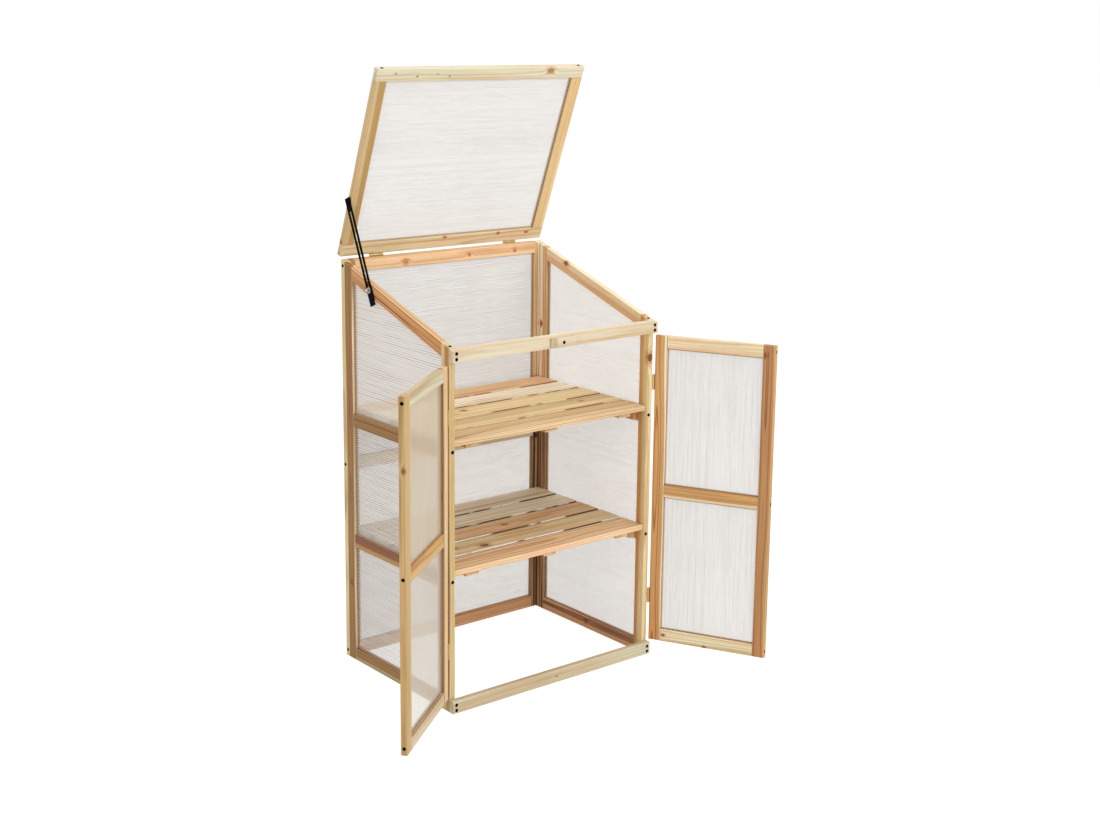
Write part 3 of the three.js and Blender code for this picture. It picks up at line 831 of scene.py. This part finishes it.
# The rim is painted shade: a brown band at the sheet's edge for the groove's shadow and the wood behind it
RIM_SHADE_SHARE = 0.85
RIM_SHADE_TONE = "BE8C54"
# Flute mouths: dark for the shade inside the open flute ends, pale for the lit web ends
MOUTH_SHADE_AND_LIGHT_TONES = ("6A3E1A", "F0C898")
TEETH_LONG = 0.0035
TEETH_SOFT = 0.3
CLOUD_SHARE = 0.35
# Painted highlight: bright lines down the middle of the flutes
PAINTED_HIGHLIGHT_SHARE = 0.6
WEB_DEEP = 0.0002
LIGHT_PASSED = 0.65

# Skin's and webs' colour, alpha between webs and on them, the faintest web's strength, dashes per metre
LOOK_WORDS = ("skin", "web", "milky", "dense", "even", "dashes")
# The sheets are one plastic: their skin and web colours differ from sheet to sheet, and upper from lower, as
# painted light and shade for how each sheet is lit and what shows behind it
SHEET_LOOKS = {
    "left_door_upper": ("C6B597", "BFAE92", 0.5, 0.6, 0.3, 4.0),
    "left_door": ("CFC6B8", "C6BDAD", 0.42, 0.52, 0.3, 4.0),
    "left_upper": ("FCF9F2", "96887A", 0.3, 0.56, 0.7, 6.0),
    "left": ("FFFEFA", "7C664C", 0.28, 0.56, 0.8, 5.0),
    "right_door": ("CECBC6", "C2BDB6", 0.44, 0.54, 0.15, 9.0),
    "right": ("DED9D1", "CFC9BF", 0.35, 0.43, 0.05, 20.0),
    "back_upper": ("BFBCB6", "B2ACA2", 0.46, 0.55, 0.15, 16.0),
    "back": ("D9D4CA", "C4BDB0", 0.36, 0.47, 0.15, 24.0),
    "lid": ("D6D3CE", "C2BDB5", 0.42, 0.54, 0.3, 11.0),
}


def flute_matrix(node):
    """Coordinates with X across the flutes and Y along them, and half the sheet's size both ways."""
    low, high = square_box(node)
    half = (high - low) / 2
    through = int(np.argmin(half))
    along = 2 if "door" in node else 0 if node.startswith(("back", "lid")) else 1
    across = 3 - along - through
    return laid_matrix(node, [across, along, through]), (float(half[across]), float(half[along]))


def web_lines(place, across, look):
    """Distance across the flutes over the web pitch: its fraction is near zero or one on a web."""
    drift = noise(place, (20.0, 2.5, 2.5))
    turns = number("MULTIPLY_ADD", drift, WEB_DRIFT, number("DIVIDE", across, WEB_PITCH))
    from_flute = number("ABSOLUTE", number("SUBTRACT", number("FRACT", turns), 0.5))
    web = ramp(from_flute, 0.26, 0.40)

    # Each web has its own strength, and it breaks up into dashes along its length
    own = luck(number("ROUND", turns))["Value"]
    dash = noise(place, (170.0, look["dashes"], 1.0), detail=1.0)
    strength = ramp(number("MULTIPLY_ADD", own, 0.2, dash), 0.45, 0.8, start=look["even"])
    # A painted highlight runs in dashes down the middle of each flute
    painted_highlight = times(fall(from_flute, 0.02, 0.16), ramp(dash, 0.5, 0.68))
    return web, dash, times(web, strength), painted_highlight


def edge_marks(parts, ends):
    """Inset is the way in from the groove's lip: the rim of painted shade fades over it, and the flutes' ends have
    mouths of painted shade and light.
    """
    lengthwise = number("SUBTRACT", ends[1], number("ABSOLUTE", parts["Y"]))
    sideways = number("SUBTRACT", ends[0], number("ABSOLUTE", parts["X"]))
    inset = number("SUBTRACT", number("MINIMUM", lengthwise, sideways), GROOVE_DEEP)
    rim_shade = ramp(inset, RIM_START, RIM_WIDE, start=RIM_SHADE_SHARE, end=0.0)
    reach = GROOVE_DEEP + TEETH_LONG
    # Where the flutes' open ends show, their shade and light are painted
    mouth = fall(lengthwise, reach - TEETH_LONG * TEETH_SOFT, reach)
    return inset, rim_shade, mouth


def make_sheet_material(node):
    """Skin with painted highlight lines, then webs, the brown rim of painted shade and the mouths' painted teeth
    over it; alpha follows whichever is densest.
    """
    row = SHEET_LOOKS[next(start for start in SHEET_LOOKS if node.startswith(start))]
    look = dict(zip(LOOK_WORDS, row))
    matrix, ends = flute_matrix(node)
    material, tree, shader = new_material("twin_wall_" + node)
    place = board_place(tree, matrix)
    parts = split(place)
    web, dash, shown_web, painted_highlight = web_lines(place, parts["X"], look)
    inset, rim_shade, mouth = edge_marks(parts, ends)
    cloud = noise(place, 3.0, detail=3.0)
    skin = mix(times(cloud, CLOUD_SHARE), look["skin"], WHITE)
    # The painted highlight whitens the skin
    skin = mix(times(painted_highlight, PAINTED_HIGHLIGHT_SHARE), skin, WHITE)
    # The brown rim of painted shade over the skin and webs
    tone = mix(rim_shade, mix(shown_web, skin, look["web"]), RIM_SHADE_TONE)
    # Painted teeth: shade in the open flutes, light on the web ends
    tooth = mix(web, *MOUTH_SHADE_AND_LIGHT_TONES)
    dense = ramp(shown_web, 0.0, 1.0, start=look["milky"], end=look["dense"])
    dense = number("MAXIMUM", number("MAXIMUM", dense, rim_shade), mouth)
    shadow = add_node(tree, "LightPath").outputs["Is Shadow Ray"]
    passed = number("MULTIPLY_ADD", shadow, -LIGHT_PASSED, 1.0)
    finish = {
        "Base Color": mix(mouth, tone, tooth),
        "Roughness": ramp(dash, 0.2, 0.8, start=0.35, end=0.48),
        "Specular IOR Level": ramp(inset, 0.0, RIM_WIDE, start=0.05, end=0.5),
        "Alpha": times(dense, passed),
        "Normal": relief(web, strength=0.15, distance=WEB_DEEP),
    }
    fill(shader, finish)
    return material


SHEETS = [name for name in nodes if name.endswith("sheet")]
for node in SHEETS:
    dress(node, make_sheet_material(node))
print("sheets:", len(SHEETS))

# %% [markdown]
# ## Metal fittings
# Three metals show: brassed hinges, the black stay and screws, and the bright nut. Thin plating and paint
# are never quite even, so roughness follows a soft cloud and fine rubbing lines, and edges are rubbed bright.
# Dirt and painted shade darken the corners.

# %% Metal materials
RUB_ROUND = 0.0006
# How far dirt and painted shade reach into corners, and their tint
DIRT_AND_SHADE_REACH = 0.004
DIRT_AND_SHADE_TINT = "3A2A18"
RUB_DEEP = 0.0001


def make_metal(name, base, worn, rough, wear, metallic=1.0, shine=0.5):
    """Base colour with worn edges and corners darkened by dirt and painted shade; roughness from a cloud and fine
    rubbing lines.
    """
    material, tree, shader = new_material(name)
    place = object_place(tree)
    cloud = noise(place, 90.0, detail=3.0)
    lines = noise(place, (900.0, 900.0, 60.0))
    marks = use_group(tree, edges, Round=RUB_ROUND, Shade=DIRT_AND_SHADE_REACH)
    tone = mix(times(marks["Edge"], wear), base, worn)
    # Dirt and painted shade darken the metal where it is boxed in
    tone = tint(times(marks["Corner"], 0.6), tone, DIRT_AND_SHADE_TINT)
    mixed = number("MULTIPLY_ADD", lines, 0.4, times(cloud, 0.6))
    finish = {
        "Base Color": tone,
        "Metallic": metallic,
        "Specular IOR Level": shine,
        "Roughness": ramp(mixed, 0.3, 0.7, *rough),
        "Normal": relief(mixed, strength=0.15, distance=RUB_DEEP),
    }
    fill(shader, finish)
    return material


BRASS = make_metal("brassed_steel", BRASS_TONE, "E2CC94", rough=(0.3, 0.5), wear=0.7)
BLACK = make_metal("black_coat", "050403", "141210", (0.82, 0.95), wear=0.25, metallic=0.0, shine=0.08)
ZINC = make_metal("zinc_plate", "C4C8CC", "E6E8EA", rough=(0.22, 0.4), wear=0.6)
for name in nodes:
    if name.endswith("leaf"):
        dress(name, BRASS)
dress("stay_bar", BLACK)
dress("stay_stud", ZINC)
print("metals done")

# %% [markdown]
# ## Screws
# Black countersunk screws hold the frame together, and small brassed ones hold the hinge leaves. A screw head
# is a surface of revolution: its radius and height follow a short profile from the rim to the middle. The
# cross recess is sunk into the same grid, so the head stays one closed skin. Each body's screws of one metal
# are one piece, because they travel together.

# %% The screw head
HEAD_RADIUS = 0.0041
HEAD_RISE = 0.0009
HEAD_SINK = 0.0025
FOOT_SHARE = 0.6
RECESS_WIDE = 0.0010
RECESS_LONG = 0.0025
RECESS_DEEP = 0.0005


def screw_head(turns=32, rings=10):
    """A grid of rings round an axis: radius shrinks to zero at the crown, height drops inside a cross."""
    share = np.linspace(1, 0, rings)[:-1]
    angle = np.linspace(0, 2 * np.pi, turns, endpoint=False)
    radius = HEAD_RADIUS * share[:, None]
    x = radius * np.cos(angle)
    y = radius * np.sin(angle)
    upright = (np.abs(x) < RECESS_WIDE / 2) & (np.abs(y) < RECESS_LONG)
    level = (np.abs(y) < RECESS_WIDE / 2) & (np.abs(x) < RECESS_LONG)
    z = HEAD_RISE * np.sqrt(1 - share[:, None] ** 2) - RECESS_DEEP * (upright | level)
    foot = np.stack([x[0] * FOOT_SHARE, y[0] * FOOT_SHARE, np.full(turns, -HEAD_SINK)], axis=1)
    crown = [[0, 0, HEAD_RISE - RECESS_DEEP]]
    points = np.concatenate([foot, np.stack([x, y, z], axis=2).reshape(-1, 3), crown])
    ring = np.arange(turns)
    following = np.roll(ring, -1)
    row = np.arange(rings - 1)[:, None] * turns
    quads = np.stack([row + ring, row + following, row + turns + following, row + turns + ring], axis=2)
    last = (rings - 1) * turns
    caps = np.stack([last + ring, last + following, np.full(turns, last + turns)], axis=1)
    return points, quads.reshape(-1, 4).tolist() + caps.tolist() + [ring[::-1].tolist()]


def placed_copies(points, faces, spots):
    """Turns the shape's Z to each spot's direction and moves it there, all copies in one list."""
    copies, all_faces = [], []
    for count, (spot, way) in enumerate(spots):
        turn = np.array(Vector(way).to_track_quat("Z", "Y").to_matrix())
        copies.append(points @ turn.T + np.array(spot))
        all_faces += [[corner + count * len(points) for corner in face] for face in faces]
    return np.concatenate(copies), all_faces


def new_piece(name, points, faces, material, body):
    """Puts arrays into a mesh with flat faces, gives it a finish and lets it ride on a body."""
    mesh = bpy.data.meshes.new(name)
    mesh.from_pydata(points.tolist(), [], faces)
    mesh.shade_flat()
    mesh.materials.append(material)
    piece = show(bpy.data.objects.new(name, mesh))
    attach(piece, body)
    return piece


print("corners of a head:", len(screw_head()[0]))

# %% Where the screws go
STOCK_WIDE = 0.030
END_INSET = 0.009
TOP_INSET = 0.009
LEVEL_SHARES = (0.25, 0.67)
RAIL_DROP = 0.0105
BACK_SHARES = (0.06, 0.36, 0.66, 0.94)
LEAF_THICK = 0.0008
LEAF_SPREAD = 0.0115
BRASS_SHARE = 0.55
LEFT_RIGHT = (-1, 1)
FORWARD = Vector((0, -1, 0))
FRONT_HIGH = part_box("front_bottom_rail")[1]
SIDE = FRONT_HIGH.x


def edge_spots(carriers, members, axis):
    """Screws along one axis, through the outer edge of each carrier into the end of each member."""
    boxes = {name: square_box(name) for name in (*carriers, *members)}
    middles = {name: np.add(*box) / 2 for name, box in boxes.items()}
    centre = np.mean([middles[name][axis] for name in carriers])
    spots = []
    for carrier in carriers:
        outer = 1 if middles[carrier][axis] > centre else -1
        for member in members:
            spot = middles[member].copy()
            spot[axis] = boxes[carrier][outer > 0][axis]
            spots.append((Vector(spot), Vector(np.eye(3)[axis] * outer)))
    return spots


def opened(spots, node):
    """Moves spots from a node's square pose to the pose it is shown in."""
    back = square_matrix(node).inverted()
    return [(back @ spot, back.to_3x3() @ way) for spot, way in spots]


def frame_spots():
    """The fixed frame's screws, left and right alike."""
    spots = edge_spots(
        ("back_left_stile", "back_right_stile"), ("back_bottom_rail", "back_middle_rail", "back_top_rail"), 0
    )
    for side in LEFT_RIGHT:
        x = side * (SIDE - END_INSET)
        for rail in ("front_bottom_rail", "front_top_rail"):
            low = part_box(rail)[0]
            heights = [low.z + share * STOCK_WIDE for share in LEVEL_SHARES]
            spots += [(Vector((x, low.y, height)), FORWARD) for height in heights]
        for rail in ("left_lower_mid_rail", "left_upper_mid_rail"):
            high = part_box(rail)[1]
            spots.append((Vector((x, FRONT_HIGH.y, high.z - RAIL_DROP)), FORWARD))
        spots += [(Vector((x, BACK_TOP.y, share * BACK_TOP.z)), -FORWARD) for share in BACK_SHARES]
        y = FRONT_HIGH.y + TOP_INSET
        height = FRONT_TOP.z - (FRONT_TOP.y - y) * math.tan(SLOPE)
        spots.append((Vector((x, y, height)), Vector((0, -math.sin(SLOPE), math.cos(SLOPE)))))
    return spots


def moving_spots(body):
    """A door's screws run level into its rails, and the lid's run up the slope into its stiles."""
    if body == "lid":
        spots = edge_spots(("lid_front_rail", "lid_back_rail"), ("lid_left_stile", "lid_right_stile"), 1)
        return opened(spots, "lid_back_rail")
    stiles = (body + "_hinge_stile", body + "_free_stile")
    rails = (body + "_bottom_rail", body + "_middle_rail", body + "_top_rail")
    return opened(edge_spots(stiles, rails, 0), stiles[0])


def leaf_spots(leaf, carrier, axis):
    """Two screws through a moving leaf, one each side of its middle along the pin."""
    low, high = square_box(carrier)
    along = 2 if axis == 0 else 0
    leaf_middle = np.add(*square_box(leaf)) / 2
    spot = (low + high) / 2
    outer = 1 if leaf_middle[axis] > spot[axis] else -1
    spot[axis] = (high if outer > 0 else low)[axis] + outer * LEAF_THICK
    spot[along] = leaf_middle[along]
    way = Vector(np.eye(3)[axis] * outer)
    shift = Vector(np.eye(3)[along] * LEAF_SPREAD)
    return opened([(Vector(spot) + sign * shift, way) for sign in LEFT_RIGHT], carrier)


print("frame screws:", len(frame_spots()))

# %% Set the screws


def set_screws(name, body, spots, metal, size=1.0):
    """One head at each spot, all of one body in one piece."""
    points, faces = screw_head()
    points, faces = placed_copies(points * size, faces, spots)
    return new_piece(name, points, faces, metal, body)


set_screws("frame_screws", "frame", frame_spots(), BLACK)
button_pivot = joints["turn_button_pivot"]["pos_m"]
button_middle = Vector((button_pivot[0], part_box("turn_button")[0].y, button_pivot[2]))
set_screws("turn_button_screw", "turn_button", [(button_middle, FORWARD)], BLACK)
for body in ("left_door", "right_door", "lid"):
    set_screws(body + "_screws", body, moving_spots(body), BLACK)
    carrier, axis = ("lid_back_rail", 1) if body == "lid" else (body + "_hinge_stile", 0)
    leaves = [name for name in nodes if body_of[name] == body and name.endswith("leaf")]
    spots = [spot for leaf in leaves for spot in leaf_spots(leaf, carrier, axis)]
    set_screws(body + "_leaf_screws", body, spots, BRASS, BRASS_SHARE)
print("screws set")

# %% [markdown]
# ## Studio
# The object stands on a plain white floor under large soft lamps, so that the picture's white ground and
# its soft shadows come out together. The world and the floor show white to the camera, and to glossy and
# clear surfaces, but light the object more gently than they look.

# %% Floor, world and lamps
FLOOR_HALF = 12.0
FLOOR_DROP = 0.0006
FLOOR_DIM = (0.3, 0.3, 0.3, 1.0)
FLOOR_PLAIN = (0.8, 0.8, 0.8, 1.0)
FLOOR_GLOW = 0.88
WORLD_SHOWN = 1.0
WORLD_LIGHT = 0.68
LAMP_AIM = Vector((0, 0.2, 0.6))

# Each lamp's place, its width in metres and its power in watts
LAMPS = {
    "key": ((1.6, -3.6, 3.1), 2.4, 76.0),
    "low": ((0.5, -3.8, 0.9), 2.0, 17.0),
    "overhead": ((0.2, -0.4, 4.0), 3.0, 46.0),
    "fill": ((-3.2, -1.4, 1.6), 2.0, 28.0),
}


def camera_like(tree):
    """One for rays that the eye follows: straight from the camera, mirrored or passing through."""
    path = add_node(tree, "LightPath").outputs
    seen = number("ADD", path["Is Camera Ray"], path["Is Glossy Ray"])
    return number("ADD", seen, path["Is Transmission Ray"], clamp=True)


def two_faced(tree, lighting, shown, output):
    """One shader for what the eye sees and another for the light that reaches the object."""
    both = feed("MixShader", {0: camera_like(tree), 1: lighting, 2: shown}).outputs[0]
    feed(output, {"Surface": both})


def make_floor():
    """A wide plate under the feet: to the eye a dim diffuse layer over an even glow, to light plain white."""
    mesh = bpy.data.meshes.new("floor")
    corners = [(x * FLOOR_HALF, y * FLOOR_HALF, -FLOOR_DROP) for x, y in ((-1, -1), (1, -1), (1, 1), (-1, 1))]
    mesh.from_pydata(corners, [], [(0, 1, 2, 3)])
    floor = show(bpy.data.objects.new("floor", mesh))
    material = bpy.data.materials.new("floor")
    tree = emptied(material)
    dim = add_node(tree, "BsdfDiffuse", {"Color": FLOOR_DIM}).outputs[0]
    glow = add_node(tree, "Emission", {"Color": WHITE, "Strength": FLOOR_GLOW}).outputs[0]
    shown = feed("AddShader", {0: dim, 1: glow}).outputs[0]
    plain = add_node(tree, "BsdfDiffuse", {"Color": FLOOR_PLAIN}).outputs[0]
    two_faced(tree, plain, shown, "OutputMaterial")
    mesh.materials.append(material)


def make_world():
    """White to the eye, softer as a lamp."""
    world = bpy.data.worlds.new("studio")
    tree = emptied(world)
    inputs = [{"Color": WHITE, "Strength": strength} for strength in (WORLD_LIGHT, WORLD_SHOWN)]
    light, shown = (add_node(tree, "Background", each).outputs[0] for each in inputs)
    two_faced(tree, light, shown, "OutputWorld")
    bpy.context.scene.world = world


def add_lamp(name, spot, size, power):
    """A square soft lamp aimed at the middle of the object."""
    data = bpy.data.lights.new(name, "AREA")
    data.shape = "SQUARE"
    data.size = size
    data.energy = power
    lamp = show(bpy.data.objects.new(name, data))
    lamp.location = spot
    lamp.rotation_euler = (LAMP_AIM - Vector(spot)).to_track_quat("-Z", "Y").to_euler()


make_floor()
make_world()
for name, (spot, size, power) in LAMPS.items():
    add_lamp(name, spot, size, power)
bpy.context.scene.view_settings.view_transform = "Standard"
print("studio ready")
